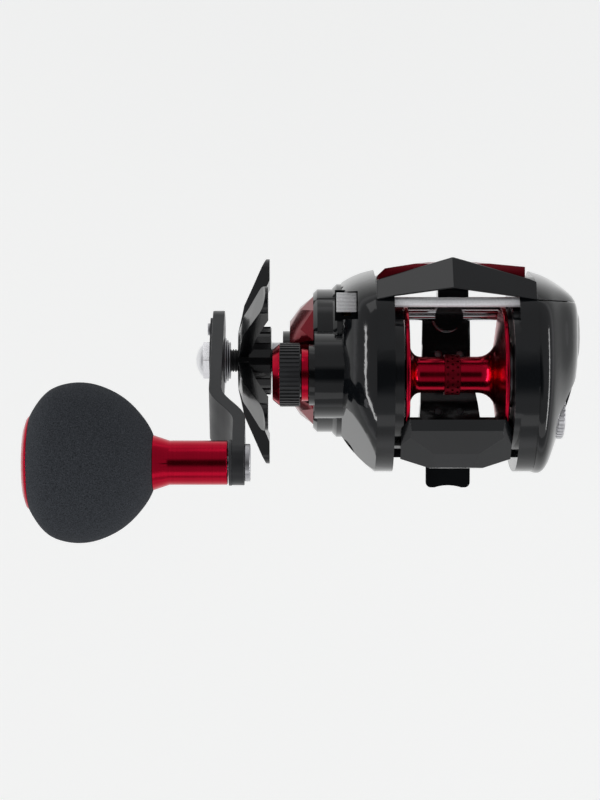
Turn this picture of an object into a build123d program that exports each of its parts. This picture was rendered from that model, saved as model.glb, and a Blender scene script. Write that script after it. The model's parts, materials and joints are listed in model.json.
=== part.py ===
"""Low-profile baitcasting reel, left-hand retrieve, with a power handle.

Frame: millimetres, origin on the foot's underside, in the middle of its width
and 2 mm behind the spool's axis, +X towards the palm side, +Y towards the rod
tip, +Z up. The spool, the drive train and the level wind all turn about axes
parallel to X.
"""
from build123d import *
import math
import os

# ---------------------------------------------------------------- axes (y, z)
SPOOL_AXIS = (2.0, 26.0)
GEAR_MODULE = 0.5
MAIN_TEETH = 56
PINION_TEETH = 12
WIND_DRIVE_TEETH = 32
WIND_TEETH = 20
DRIVE_DISTANCE = GEAR_MODULE * (MAIN_TEETH + PINION_TEETH) / 2
DRIVE_ANGLE = -76.0
WORM_DISTANCE = GEAR_MODULE * (WIND_DRIVE_TEETH + WIND_TEETH) / 2
WORM_ANGLE = 16.0
RUNNING = 0.06  # radial clearance of a shaft in its bore


def polar(centre, radius, degrees):
    """The point at a radius and an angle from +Y, turning towards +Z."""
    turn = math.radians(degrees)
    return (centre[0] + radius * math.cos(turn), centre[1] + radius * math.sin(turn))


DRIVE_AXIS = polar(SPOOL_AXIS, DRIVE_DISTANCE, DRIVE_ANGLE)
WORM_AXIS = polar(DRIVE_AXIS, WORM_DISTANCE, WORM_ANGLE)

# ---------------------------------------------------------- driving dimensions
FRAME_INNER = 16.5  # inner faces of the two side frames, from the middle plane
FRAME_OUTER = 21.3
BODY_BOTTOM = -8.0
FLOOR_BOTTOM = 3.0  # underside of the frame, on top of the foot
FLOOR_TOP = 5.2
FLOOR_FRONT = 23.6  # front edge of the floor and of the foot
SPOOL_R = 18.4
SPOOL_FACE = 13.7  # outer face of each flange
FLANGE = 1.2
HUB_R = 4.9
SHAFT_R = 1.5
BAR_R = 19.1  # inner radius of the thumb bar, about the spool axis
LEG_INNER = 19.2  # the thumb bar's leg: radii and angles about the spool axis
LEG_OUTER = 20.5
LEG_START = 158
LEG_END = 165
BAR_TRAVEL = 12
CRADLE_R = 19.6  # radius of the frame's floor and rear wall, about the spool axis
FOOT_WIDTH = 12.4
FOOT_REAR = -29.4
FOOT_THICK = 3.0
PILLAR = (21.0, 38.2)
PILLAR_R = 1.25
WORM_R = 1.6
GUIDE_X = -0.6  # middle of the line guide at rest
GUIDE_R = 3.85
GUIDE_ROD = (22.6, 9.0)
GUIDE_ROD_R = 1.2
RING_STEP_1 = -32.6  # where the outer boss ring of the handle side plate begins
RING_STEP_2 = -37.9
RING_R_1 = 21.2
RING_R_2 = 19.8
RING_CHAMFER = 1.1
COVER_END = -44.3
TUBE_R = 8.2
TUBE_END = -46.2
NECK_R = 6.0
NECK_END = -45.4
CAP_START = -41.5
CAP_END = -48.9
CAP_SHOULDER = -47.0
CAP_HUB_R = 5.2
CAP_R = 8.6
SHAFT_THREAD_R = 3.15
JOURNAL_R = 2.5
ARM_ANGLE = 120.0  # the arm's rest direction about the drive axis, from +Y towards +Z
ARM_LENGTH = 54.0
ARM_OUTER = -65.6
ARM_THICK = 3.2
ARM_JOG = 6.7
CRANK_START = 30.0  # where the arm's bend starts and ends, from the drive axis
CRANK_END = 44.0
ARM_NUT_END = -70.3
KNOB_INNER = -79.1
KNOB_OUTER = -112.5
STAR_R = 30.0
STAR_ARMS = 5
STAR_TURN = 53.5  # angle of the first arm from +Y at rest
STAR_TIP = 4.0  # radius of an arm's round tip
STAR_FACE = -50.0  # inner edges of the star's arms


# ------------------------------------------------------------- shape helpers
def cyl_x(radius, x0, x1, centre):
    """A cylinder along X from x0 to x1 about the axis through centre (y, z)."""
    place = Pos((x0 + x1) / 2, centre[0], centre[1]) * Rot(0, 90, 0)
    return place * Cylinder(radius, abs(x1 - x0))


def tube_x(outer, inner, x0, x1, centre):
    """A ring along X."""
    return cyl_x(outer, x0, x1, centre) - cyl_x(inner, x0 - 1, x1 + 1, centre)


def cone_x(radius0, radius1, x0, x1, centre):
    """A cone frustum along X, with radius0 at x0 and radius1 at x1."""
    place = Pos((x0 + x1) / 2, centre[0], centre[1]) * Rot(0, 90, 0)
    return place * Cone(radius0, radius1, x1 - x0)


def block(x0, x1, y0, y1, z0, z1):
    """A box from its two corners."""
    place = Pos((x0 + x1) / 2, (y0 + y1) / 2, (z0 + z1) / 2)
    return place * Box(x1 - x0, y1 - y0, z1 - z0)


def face_x(points, x, smooth=False):
    """A face in the YZ plane at x, through (y, z) points."""
    corners = [(x, y, z) for y, z in points]
    edge = Spline(corners, periodic=True) if smooth else Polyline(corners, close=True)
    return make_face(edge)


def prism_x(points, x0, x1, smooth=False):
    """A (y, z) outline pushed along X."""
    return extrude(face_x(points, x0, smooth), amount=x1 - x0, dir=(1, 0, 0))


def prism_y(points, y0, y1):
    """An (x, z) outline pushed along Y."""
    edge = Polyline([(x, y0, z) for x, z in points], close=True)
    return extrude(make_face(edge), amount=y1 - y0, dir=(0, 1, 0))


def prism_z(points, z0, z1):
    """An (x, y) outline pushed along Z."""
    edge = Polyline([(x, y, z0) for x, y in points], close=True)
    return extrude(make_face(edge), amount=z1 - z0, dir=(0, 0, 1))


def beneath(*corners, inset=0.0):
    """Everything below the plane through three points, drawn in by inset: a large slab."""
    first, second, third = (Vector(*corner) for corner in corners)
    normal = (second - first).cross(third - first)
    if normal.Z < 0:
        normal = -normal
    return Plane(origin=first, z_dir=normal) * Pos(0, 0, -40 - inset) * Box(160, 160, 80)


def turned(points, centre):
    """A solid of revolution about the X axis through centre, from (x, radius) points."""
    edge = Polyline([(x, r, 0) for x, r in points], close=True)
    return Pos(0, centre[0], centre[1]) * revolve(make_face(edge), Axis.X)


def turn_x(shape, degrees, centre):
    """A shape drawn about the X axis, turned and moved to centre."""
    return Pos(0, centre[0], centre[1]) * Rot(degrees, 0, 0) * shape


def gear_x(teeth, addendum, x0, x1, centre, tooth_angle):
    """An involute spur gear with one tooth centred on tooth_angle."""
    pressure = math.radians(20)
    pitch = GEAR_MODULE * teeth / 2
    base = pitch * math.cos(pressure)
    root = pitch - 1.25 * GEAR_MODULE
    tip = pitch + addendum * GEAR_MODULE
    thinning = 0.04 / pitch
    half = math.pi / (2 * teeth) - thinning + math.tan(pressure) - pressure

    def half_angle(radius):
        roll = math.acos(min(1.0, base / radius))
        return half - (math.tan(roll) - roll)

    start = max(base, root + 0.05)
    radii = [root, start] + [start + (tip - start) * step / 3 for step in (1, 2, 3)]
    points = []
    for tooth in range(teeth):
        middle = math.radians(tooth_angle) + 2 * math.pi * tooth / teeth
        rising = [(r, middle - half_angle(max(r, base))) for r in radii]
        falling = [(r, middle + half_angle(max(r, base))) for r in reversed(radii)]
        for radius, angle in rising + falling:
            points.append((radius * math.cos(angle), radius * math.sin(angle)))
    return Pos(0, centre[0], centre[1]) * prism_x(points, x0, x1)


def ribs_x(radius, depth, count, x0, x1, centre, width):
    """Straight ribs along X, standing up from a round surface."""
    rib = block(x0, x1, radius - depth, radius + depth, -width / 2, width / 2)
    return Pos(0, centre[0], centre[1]) * Compound(
        [Rot(360 * turn / count, 0, 0) * rib for turn in range(count)]
    )


# --------------------------------------------------------------- frame pieces
SIDE_OUTLINE = [
    (29.0, 12.0), (28.8, 25.0), (26.2, 34.4), (20.4, 40.6), (11.0, 44.0), (0.0, 45.2), (-9.4, 43.0),
    (-17.5, 36.6), (-22.8, 29.0), (-24.3, 19.0), (-22.6, 7.5), (-17.0, -2.0),
    (-7.0, -7.2), (6.0, -8.6), (18.0, -6.6), (26.0, 1.5),
]
HOOD_PEAK = (-1.0, 33.1)
HOOD_CREASE = (-1.0, 24.6)
HOOD_LEFT = (-20.3, 27.4)
HOOD_RIGHT = (19.4, 27.4)
HOOD_REAR_TOP = 43.0  # height of the crease at its rear and front ends
HOOD_FRONT_TOP = 37.4
HOOD_SHOULDER = 40.2  # height of the roof's rear corners
HOOD_HEM = 32.4
HOOD_SKIN = 2.6
COWL_WALL = 2.0


def hood_envelope():
    """The chevron hood over the front: two roof planes that meet in a crease."""
    plan = prism_z(
        [(-FRAME_OUTER, 21.6), (-16.5, 22.6), HOOD_CREASE, (14.6, 22.6), (FRAME_OUTER, 21.6),
         (FRAME_OUTER, 26.6), HOOD_RIGHT, HOOD_PEAK, HOOD_LEFT, (-FRAME_OUTER, 26.9)],
        HOOD_HEM, 46,
    )
    rear_end = (*HOOD_CREASE, HOOD_REAR_TOP)
    front_end = (*HOOD_PEAK, HOOD_FRONT_TOP)
    roof = plan
    for side in (-1, 1):
        roof = roof & beneath(rear_end, front_end, (side * FRAME_OUTER, 21.6, HOOD_SHOULDER))
    return roof


def front_hood():
    """The hood as a shell: its underside follows the top, one skin lower."""
    body = hood_envelope()
    core = Pos(0, -0.9, -HOOD_SKIN) * hood_envelope()
    return body - (core & block(-FRAME_INNER, FRAME_INNER, 10, 40, 20, 50))


def floor_and_cradle():
    """The floor strip, the front sill and the rear wall that curves round the spool."""
    strip_plan = prism_z(
        [(-7.2, FLOOR_FRONT), (5.2, FLOOR_FRONT), (5.7, 6), (8.0, -6), (8.6, -12), (-8.6, -12), (-8.0, -6), (-7.6, 6)],
        -2, 16,
    )
    strip = prism_x(
        [(-14, FLOOR_BOTTOM), (FLOOR_FRONT, FLOOR_BOTTOM), (FLOOR_FRONT, FLOOR_TOP), (10.6, FLOOR_TOP),
         (10.6, 11), (-14, 16)], -9, 9,
    ) & strip_plan
    sill = block(-FRAME_INNER, FRAME_INNER, 17.8, FLOOR_FRONT, FLOOR_BOTTOM, FLOOR_TOP)
    rear = block(-FRAME_INNER, FRAME_INNER, -30, -9.6, FLOOR_BOTTOM, 23.0)
    rear = rear & cyl_x(CRADLE_R + 3.0, -20, 20, SPOOL_AXIS)
    return (strip + rear - cyl_x(CRADLE_R, -20, 20, SPOOL_AXIS)) + sill


def main_frame():
    """One-piece frame: two side plates joined by the floor, the sill and the cradle."""
    left = prism_x(SIDE_OUTLINE, -FRAME_OUTER, -FRAME_INNER, smooth=True)
    right = prism_x(SIDE_OUTLINE, FRAME_INNER, FRAME_OUTER, smooth=True)
    left_lip = tube_x(18.9, 15.2, -FRAME_INNER - 0.5, -14.1, SPOOL_AXIS)
    right_lip = tube_x(20.4, 18.7, 14.9, FRAME_INNER + 0.5, SPOOL_AXIS)
    lips = (left_lip + right_lip) & prism_x(SIDE_OUTLINE, -18, 18, smooth=True)
    frame = left + right + lips + floor_and_cradle()
    frame -= block(-40, 40, -40, 40, -20, BODY_BOTTOM)
    frame -= cyl_x(4.2, -25, -14, SPOOL_AXIS)
    frame -= cyl_x(18.5, 14, 25, SPOOL_AXIS)
    frame -= cyl_x(4.0, -FRAME_OUTER - 1, -18.4, DRIVE_AXIS)
    frame -= cyl_x(2.4, -25, 25, WORM_AXIS)
    frame -= cyl_x(GUIDE_ROD_R, -18.5, 18.5, GUIDE_ROD)
    frame -= cyl_x(PILLAR_R, -18.5, 18.5, PILLAR)
    frame -= clutch_slot()
    for post in YOKE_POSTS:
        frame -= cyl_x(0.9, -FRAME_OUTER - 1, -18.3, post)
    for screw in SIDE_SCREWS:
        frame -= cyl_x(1.0, -FRAME_OUTER - 1, -17.3, screw)
    for x, y in RIVETS:
        frame -= Pos(x, y, 0) * Cylinder(1.0, 20)
    frame -= hood_envelope()
    frame -= cowl_envelope()
    return frame


def clutch_slot():
    """A curved slot through the left side frame for the leg of the thumb bar."""
    ring = tube_x(LEG_OUTER + 0.3, LEG_INNER - 0.3, -25, -14, SPOOL_AXIS)
    above = LEG_START - 1.5
    below = LEG_END + BAR_TRAVEL + 1.5
    corners = [polar(SPOOL_AXIS, 10, above), polar(SPOOL_AXIS, 30, above),
               polar(SPOOL_AXIS, 30, below), polar(SPOOL_AXIS, 10, below)]
    return ring & prism_x(corners, -25, -14)


def leg_profile():
    """The leg that joins the thumb bar to the clutch plate, as a YZ outline."""
    return [polar(SPOOL_AXIS, LEG_INNER, LEG_START), polar(SPOOL_AXIS, LEG_OUTER, LEG_START),
            polar(SPOOL_AXIS, LEG_OUTER, LEG_END), polar(SPOOL_AXIS, LEG_INNER, LEG_END)]


def cowl_envelope():
    """The red panel across the front, under the hood, bowed forward in its middle."""
    profile = [(24, 3), (30.5, 3), (32.6, 12), (32.6, 30), (31.4, 36), (24, 40)]
    bow = [(-21, 28.2), (-19, 30.1), (-15.4, 30.7), (-3.4, 32.6), (1.5, 32.6), (8, 31.5), (18.2, 30.5)]
    outer = prism_x(profile, -21, 18.2) & prism_z(bow + [(18.2, 20), (-21, 20)], 3, 36.5)
    hollow_profile = [(19, -2), (28.5, 2), (30.6, 12.4), (30.6, 29.7), (29.4, 35), (19, 42)]
    hollow_bow = [(-30, 28.1), (-19, 28.1)] + [(x, y - COWL_WALL) for x, y in bow[2:]] + [(30, 28.5)]
    inner = prism_x(hollow_profile, -30, 30) & prism_z(hollow_bow + [(30, 18), (-30, 18)], -5, 50)
    return (outer - inner) & block(-30, 30, 20, 40, 4.0, 36.5)


def front_cowl():
    """The cowl with its T-shaped mouth for the line."""
    mouth = block(-12.5, 11.3, 20, 40, 25.0, 33.0) + block(-5.5, 4.3, 20, 40, 17.0, 26.0)
    grille = block(-16.5, 15.0, 20, 40, 7.0, 9.0) + block(-16.5, 15.0, 20, 40, 11.0, 13.0)
    return cowl_envelope() - mouth - grille - hood_envelope()


def reel_foot():
    """The curved foot that lies in the rod's seat: two flat lands and a hollow between."""
    side = FOOT_WIDTH / 2
    length = FLOOR_FRONT - FOOT_REAR
    middle = (FLOOR_FRONT + FOOT_REAR) / 2
    body = prism_x(
        [(FOOT_REAR, 0), (FLOOR_FRONT, 0), (FLOOR_FRONT, 1.5), (15, 2.3), (12, FOOT_THICK),
         (-12, FOOT_THICK), (-15, 2.3), (FOOT_REAR, 1.5)], -side, side,
    )
    plan = Pos(0, middle, 0) * extrude(RectangleRounded(FOOT_WIDTH, length, 1.5), amount=5)
    hollow_half = 4.4
    rise = 0.9
    radius = (hollow_half ** 2 + rise ** 2) / (2 * rise)
    hollow = Pos(0, 0, rise - radius) * Rot(90, 0, 0) * Cylinder(radius, 80)
    wave = Pos(0, FOOT_REAR - 11.4, 0) * Cylinder(12, 12)
    foot = (body & plan) - hollow - wave
    for x, y in RIVETS:
        foot -= Pos(x, y, 0) * Cylinder(1.0, 20)
    return foot


RIVETS = [(-3.0, -8.0), (3.0, -8.0), (-3.0, 8.0), (3.0, 8.0)]


def foot_rivets():
    """Four rivets through the foot and the floor."""
    pins = [Pos(x, y, 3.4) * Cylinder(1.0, 4.0) for x, y in RIVETS]
    return Compound(pins)


def upper_pillar():
    """The polished bar across the top of the frame, over the line guide."""
    return cyl_x(PILLAR_R, -18.5, 18.5, PILLAR)


# -------------------------------------------------------- handle side housing
SHELL_FACET = [(-30.3, -6.7, 33.2), (-22.1, -22.0, 28.2), (-30.7, -16.4, 12.2)]  # a flat on its rear


def left_outline(y0, y1, z0, z1, top_y):
    """A rounded body outline in YZ from its extents, with its top at top_y."""
    wide = y1 - y0
    tall = z1 - z0
    return [
        (y1, z0 + 0.42 * tall), (y1 - 0.045 * wide, z0 + 0.66 * tall),
        (y1 - 0.15 * wide, z0 + 0.885 * tall), (top_y + 0.08 * wide, z1 - 0.01 * tall),
        (top_y - 0.1 * wide, z1 - 0.005 * tall), (y0 + 0.125 * wide, z0 + 0.87 * tall),
        (y0 + 0.03 * wide, z0 + 0.72 * tall), (y0, z0 + 0.48 * tall),
        (y0 + 0.045 * wide, z0 + 0.26 * tall), (y0 + 0.18 * wide, z0 + 0.08 * tall),
        (y0 + 0.42 * wide, z0), (y0 + 0.68 * wide, z0 + 0.012 * tall),
        (y0 + 0.9 * wide, z0 + 0.13 * tall),
    ]


def boss_ring(radius, x0, x1):
    """A disc about the drive axis with a chamfered outer edge."""
    outline = [(x0, 0), (x0, radius - RING_CHAMFER), (x0 + RING_CHAMFER, radius), (x1, radius), (x1, 0)]
    return turned(outline, DRIVE_AXIS)


def left_shell(inset):
    """The outer form of the handle side housing, drawn in by inset (half as much at its flat)."""
    sections = [
        (-FRAME_OUTER, -24.3, 31.0, -8.4, 44.8), (-25.8, -20.2, 29.8, -8.4, 42.6),
        (-30.2, -14.6, 27.5, -8.2, 37.0),
    ]
    faces = [
        face_x(left_outline(y0 + inset, y1 - inset, z0 + inset, z1 - inset, 2.0), x, smooth=True)
        for x, y0, y1, z0, z1 in sections
    ]
    body = loft(faces)
    body = body & beneath(*SHELL_FACET, inset=inset / 2)
    body += boss_ring(RING_R_1 - inset, RING_STEP_1 + inset, -26.0)
    body += boss_ring(RING_R_2 - inset, RING_STEP_2 + inset, -28.0)
    body += cyl_x(11.8 - inset, -37.6 + inset, -26.0, SPOOL_AXIS)
    return body - block(-60, 0, -60, 60, -40, BODY_BOTTOM + inset)


def handle_side_plate():
    """The housing over the gears, with the roller clutch tube and the spool neck."""
    wall = 1.7
    plate = left_shell(0) - left_shell(wall)
    plate += block(-32.1, -24.4, CLICKER_Y0 - 1.0, CLICKER_Y1 + 0.6, CLICKER_Z - 4.0, CLICKER_Z)
    plate += cyl_x(8.3, -39.1, -35.9, SPOOL_AXIS)
    plate += cyl_x(NECK_R, NECK_END, -38.0, SPOOL_AXIS)
    plate += cyl_x(TUBE_R, TUBE_END, -34.0, DRIVE_AXIS)
    plate -= cyl_x(4.0, -43.5, -30.0, SPOOL_AXIS)
    plate -= cyl_x(1.9, -50.0, -30.0, SPOOL_AXIS)
    plate -= cyl_x(7.2, -45.4, -30.0, DRIVE_AXIS)
    plate -= cyl_x(5.3, -50.0, -30.0, DRIVE_AXIS)
    plate -= block(-32.2, CLICKER_X + 2.85, CLICKER_Y0, CLICKER_Y1, CLICKER_Z, 60)
    plate -= block(CLICKER_X - 1.3, CLICKER_X + 1.3, 20.1 - CLICKER_TRAVEL, 22.7, 20, 30)
    for screw in SIDE_SCREWS:
        plate += cyl_x(2.4, -29.0, -FRAME_OUTER, screw) & left_shell(0)
        plate -= cyl_x(1.0, -45.0, -20.0, screw)
        plate -= cyl_x(2.0, -45.0, SCREW_SEAT, screw)
    return plate


SIDE_SCREWS = [(-17.5, 18.0), (24.0, 21.5), (21.6, 0.6)]
SCREW_SEAT = -24.9
CLICKER_X = -29.0
CLICKER_TRAVEL = 2.2
CLICKER_Y0 = 18.7 - CLICKER_TRAVEL
CLICKER_Y1 = 24.2
CLICKER_Z = 27.4


def side_plate_screws():
    """The three screws that hold the handle side plate on the frame."""
    screws = []
    for screw in SIDE_SCREWS:
        pin = cyl_x(1.0, SCREW_SEAT, -17.4, screw) + cyl_x(1.9, SCREW_SEAT - 1.1, SCREW_SEAT, screw)
        slot = block(SCREW_SEAT - 2, SCREW_SEAT - 0.6, screw[0] - 2, screw[0] + 2, screw[1] - 0.3, screw[1] + 0.3)
        screws.append(pin - slot)
    return Compound(screws)


def facet_ring(x, radius, count, shift):
    """Corner points of a many-sided ring about X."""
    return [
        (x, radius * math.cos(2 * math.pi * (k + shift) / count),
         radius * math.sin(2 * math.pi * (k + shift) / count))
        for k in range(count)
    ]


def side_accent_cover():
    """The faceted cover round the drive axis: bands of triangles, cut by the spool neck."""
    count = 11
    rings = [
        facet_ring(RING_STEP_2, 17.8, count, 0.0),
        facet_ring(-41.4, 15.2, count, 0.5),
        facet_ring(COVER_END, 10.9, count, 0.0),
    ]
    faces = [Face(Wire.make_polygon(rings[0])), Face(Wire.make_polygon(rings[2]))]
    for band in (0, 1):
        low, high = rings[band], rings[band + 1]
        lead = 0 if band == 0 else 1
        for k in range(count):
            after = (k + 1) % count
            if lead == 0:
                corners = [[low[k], low[after], high[k]], [high[k], high[after], low[after]]]
            else:
                corners = [[low[k], low[after], high[after]], [high[k], high[after], low[k]]]
            faces += [Face(Wire.make_polygon(three)) for three in corners]
    cover = turn_x(Solid(Shell(faces)), 8, DRIVE_AXIS)
    cover -= cyl_x(TUBE_R, -50, -30, DRIVE_AXIS)
    cover -= cyl_x(9.2, -50, -30, SPOOL_AXIS)
    cover -= block(-60, 0, -60, 60, -40, BODY_BOTTOM)
    return cover - cyl_x(11.8, -37.6, -26.0, SPOOL_AXIS)


# ------------------------------------------------------------------ palm side
def palm_shell(inset):
    """The outer form of the palm side cover: a dome lofted through six outlines."""
    sections = [
        (FRAME_OUTER, -24.3, 30.6, -8.2, 44.8), (24.6, -23.6, 29.6, -7.4, 43.8),
        (27.2, -17.4, 28.4, -5.4, 40.6), (30.2, -9.6, 26.4, -1.4, 37.2),
        (32.8, -1.2, 23.6, 4.0, 32.0), (34.0, 6.0, 19.6, 11.0, 26.0),
    ]
    faces = []
    for x, y0, y1, z0, z1 in sections:
        shift = 0 if x == FRAME_OUTER else inset * 0.7
        outline = left_outline(y0 + inset, y1 - inset, z0 + inset, z1 - inset, (y0 + y1) / 2)
        faces.append(face_x(outline, x - shift, smooth=True))
    return loft(faces)


DIAL_CENTRE = (-7.0, 26.0)
DIAL_R = 8.3
DIAL_FACE = 29.3
CORNER_SEAM = 21.3


def palm_cover():
    """The hollow palm cover with its round recess for the brake dial."""
    cover = palm_shell(0) - block(0, 60, -60, 60, -40, BODY_BOTTOM)
    cover -= palm_shell(1.8)
    cover += cyl_x(DIAL_R + 2.0, 24.2, 31, DIAL_CENTRE) & palm_shell(0)
    cover -= cyl_x(DIAL_R + 0.5, 25.6, 40, DIAL_CENTRE)
    return cover - cyl_x(2.0, 20, 40, DIAL_CENTRE)


def palm_side_plate():
    """The main palm cover, behind the corner seam."""
    return palm_cover() & block(0, 60, -60, CORNER_SEAM, -40, 60)


def palm_corner_panel():
    """The separate panel that closes the front corner of the palm side."""
    return palm_cover() & block(0, 60, CORNER_SEAM + 0.25, 60, -40, 60)


def brake_housing():
    """The disc that closes the spool opening and carries the brake and a spool bearing."""
    disc = cyl_x(18.45, 14.9, 21.0, SPOOL_AXIS)
    disc -= cyl_x(11.2, 14.0, 18.6, SPOOL_AXIS)
    disc += tube_x(6.4, 3.6, 16.6, 18.8, SPOOL_AXIS)
    disc -= cyl_x(3.5, 16.0, 20.6, SPOOL_AXIS)
    return disc


def brake_magnets():
    """Eight magnets standing round the brake pocket."""
    ring = tube_x(10.9, 8.9, 15.4, 18.6, SPOOL_AXIS)
    for step in range(4):
        gap = turn_x(block(14, 20, -12, 12, -0.5, 0.5), 45 * step, SPOOL_AXIS)
        ring -= gap
    return ring


def brake_rotor():
    """The thin metal cup on the spool that turns inside the magnets."""
    cup = tube_x(8.2, 7.6, SPOOL_FACE, 17.6, SPOOL_AXIS)
    return cup + tube_x(8.2, 4.2, SPOOL_FACE, 14.3, SPOOL_AXIS)


def brake_dial():
    """The knurled dial on the palm side."""
    dial = cyl_x(DIAL_R - 0.25, 26.1, DIAL_FACE, DIAL_CENTRE)
    dial += ribs_x(DIAL_R - 0.25, 0.25, 40, 26.3, DIAL_FACE - 0.3, DIAL_CENTRE, 0.7)
    dial -= cyl_x(6.2, DIAL_FACE - 0.6, 31, DIAL_CENTRE)
    dial += block(DIAL_FACE - 0.8, DIAL_FACE + 0.2, DIAL_CENTRE[0] - 5.8, DIAL_CENTRE[0] + 5.8, 25.2, 26.8)
    dial += cyl_x(2.0 - RUNNING, 23.4, 26.5, DIAL_CENTRE)
    return dial + cyl_x(7.0, 22.2, 23.6, DIAL_CENTRE)


# ---------------------------------------------------------------------- spool
def root_fillet(start, end, steps=6):
    """Points of the hollow curve from the hub (start) out to a flange (end), as (x, radius)."""
    points = []
    for step in range(steps + 1):
        turn = math.radians(90 * step / steps)
        along = math.sin(turn)
        out = 1 - math.cos(turn)
        points.append((start[0] + (end[0] - start[0]) * along, start[1] + (end[1] - start[1]) * out))
    return points


def spool():
    """The spool: dished flanges, hollow curves down to the hub and a bore for its shaft."""
    inner = SPOOL_FACE - FLANGE
    left = root_fillet((-9.2, HUB_R), (-12.0, 9.0))
    right = root_fillet((6.4, HUB_R), (11.1, 9.6))
    outline = [
        (-16.2, SHAFT_R), (-16.2, 3.4), (-SPOOL_FACE + 0.2, 3.9), (-SPOOL_FACE + 0.3, 16.6),
        (-SPOOL_FACE, 16.9), (-SPOOL_FACE, SPOOL_R - 0.3), (-SPOOL_FACE + 0.3, SPOOL_R),
        (-inner - 0.2, SPOOL_R), (-inner, SPOOL_R - 0.2),
    ]
    outline += left[::-1] + right
    outline += [
        (inner, SPOOL_R - 0.2), (inner + 0.2, SPOOL_R), (SPOOL_FACE - 0.3, SPOOL_R),
        (SPOOL_FACE, SPOOL_R - 0.3), (SPOOL_FACE, 3.9), (14.4, 3.4), (14.4, SHAFT_R),
    ]
    body = turned(outline, SPOOL_AXIS)
    return body - tube_x(5.6, HUB_R - 0.4, -2.6, 1.5, SPOOL_AXIS)


def spool_band():
    """The pierced band round the middle of the hub that grips the line."""
    band = tube_x(5.45, HUB_R - 0.4, -2.6, 1.5, SPOOL_AXIS)
    for row in range(3):
        for turn in range(18):
            hole = Pos(-1.9 + 1.35 * row, 0, 5.4) * Cylinder(0.36, 1.2)
            band -= turn_x(hole, 20 * turn + 10 * (row % 2), SPOOL_AXIS)
    return band


def spool_shaft():
    """The spool's steel shaft, with a cross hole for its drive pin."""
    shaft = cyl_x(SHAFT_R, -44.4, 20.4, SPOOL_AXIS)
    pin = Pos(PIN_X, SPOOL_AXIS[0], SPOOL_AXIS[1]) * Cylinder(PIN_R, 6)
    return shaft - pin


PIN_X = -18.7
PIN_R = 0.55


def spool_pin():
    """The cross pin that the pinion's slot drives."""
    return Pos(PIN_X, SPOOL_AXIS[0], SPOOL_AXIS[1]) * Cylinder(PIN_R, 4.8)


def spool_bearings():
    """The ball bearings at the two ends of the spool shaft."""
    left = tube_x(4.0, SHAFT_R + RUNNING, -42.9, -40.5, SPOOL_AXIS)
    right = tube_x(3.5, SHAFT_R + RUNNING, 18.0, 20.4, SPOOL_AXIS)
    return Compound([left, right])


# ----------------------------------------------------------- cast control cap
def cast_cap():
    """The knurled cap that loads the end of the spool shaft."""
    cap = cyl_x(CAP_R - 0.35, CAP_SHOULDER, CAP_START, SPOOL_AXIS)
    cap += ribs_x(CAP_R - 0.35, 0.35, 44, CAP_SHOULDER + 0.1, CAP_START - 0.2, SPOOL_AXIS, 0.6)
    cap += cyl_x(CAP_HUB_R, CAP_END + 0.6, CAP_SHOULDER, SPOOL_AXIS)
    cap -= cyl_x(NECK_R + RUNNING, -46.2, -30.0, SPOOL_AXIS)
    return cap - cyl_x(1.8, -46.6, -46.0, SPOOL_AXIS)


def cast_cap_insert():
    """The red bevelled ring on the cap's outer end."""
    ring = cone_x(6.8, CAP_R - 0.2, CAP_END, CAP_SHOULDER, SPOOL_AXIS)
    return ring - cyl_x(CAP_HUB_R, -50.0, -40.0, SPOOL_AXIS)


def cast_ring():
    """The red collar between the cap and the boss."""
    return tube_x(7.15, NECK_R + RUNNING, -41.2, -39.15, SPOOL_AXIS)


def cast_spacer():
    """The brass disc inside the cap that bears on the shaft's end."""
    return cyl_x(1.8, -46.6, -44.5, SPOOL_AXIS)


# ----------------------------------------------------------------- level wind
def worm_shaft():
    """The level wind shaft across the frame."""
    return cyl_x(WORM_R, -23.4, 19.6, WORM_AXIS)


def worm_gear():
    """The small gear on the end of the level wind shaft."""
    gap = WORM_ANGLE + 180 + 180 / WIND_TEETH
    gear = gear_x(WIND_TEETH, 0.9, -23.4, -21.7, WORM_AXIS, gap)
    return gear - cyl_x(WORM_R, -30, 0, WORM_AXIS)


def worm_bushings():
    """The two bushes that carry the level wind shaft in the side frames."""
    bore = WORM_R + RUNNING
    left = tube_x(2.4, bore, -FRAME_OUTER, -FRAME_INNER, WORM_AXIS)
    right = tube_x(2.4, bore, FRAME_INNER, 19.9, WORM_AXIS)
    return Compound([left, right])


RING_CENTRE = (24.0, 29.0)


def line_guide():
    """The traveller: an upright round body on the shaft, with a post up to its ring."""
    body = Pos(GUIDE_X, 18.1, 11.9) * Cylinder(GUIDE_R, 10.8)
    link = block(GUIDE_X - 2.6, GUIDE_X + 2.6, 18.0, 24.2, 7.2, 12.8)
    post = prism_x([(20.0, 12), (24.2, 12), (25.3, 22), (25.3, 25.4), (22.7, 25.4), (22.4, 18)],
                   GUIDE_X - 2.2, GUIDE_X + 2.2)
    frame = block(GUIDE_X - 4.1, GUIDE_X + 4.1, 22.6, 25.4, 24.6, 32.4)
    guide = body + link + post + frame
    guide -= cyl_x(WORM_R + RUNNING, -10, 10, WORM_AXIS)
    guide -= cyl_x(GUIDE_ROD_R + RUNNING, -10, 10, GUIDE_ROD)
    guide -= Pos(GUIDE_X, RING_CENTRE[0], RING_CENTRE[1]) * Rot(90, 0, 0) * Cylinder(3.1, 6)
    return guide - Pos(GUIDE_X, WORM_AXIS[0], 8) * Cylinder(1.5, 7)


def guide_ring():
    """The hard ring that the line runs through."""
    ring = Cylinder(3.1, 3.4) - Cylinder(2.2, 5)
    flare = Cone(2.2, 3.1, 1.2)
    ring -= Pos(0, 0, 1.15) * flare
    ring -= Pos(0, 0, -1.15) * Rot(180, 0, 0) * flare
    return Pos(GUIDE_X, RING_CENTRE[0], RING_CENTRE[1]) * Rot(90, 0, 0) * ring


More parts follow.
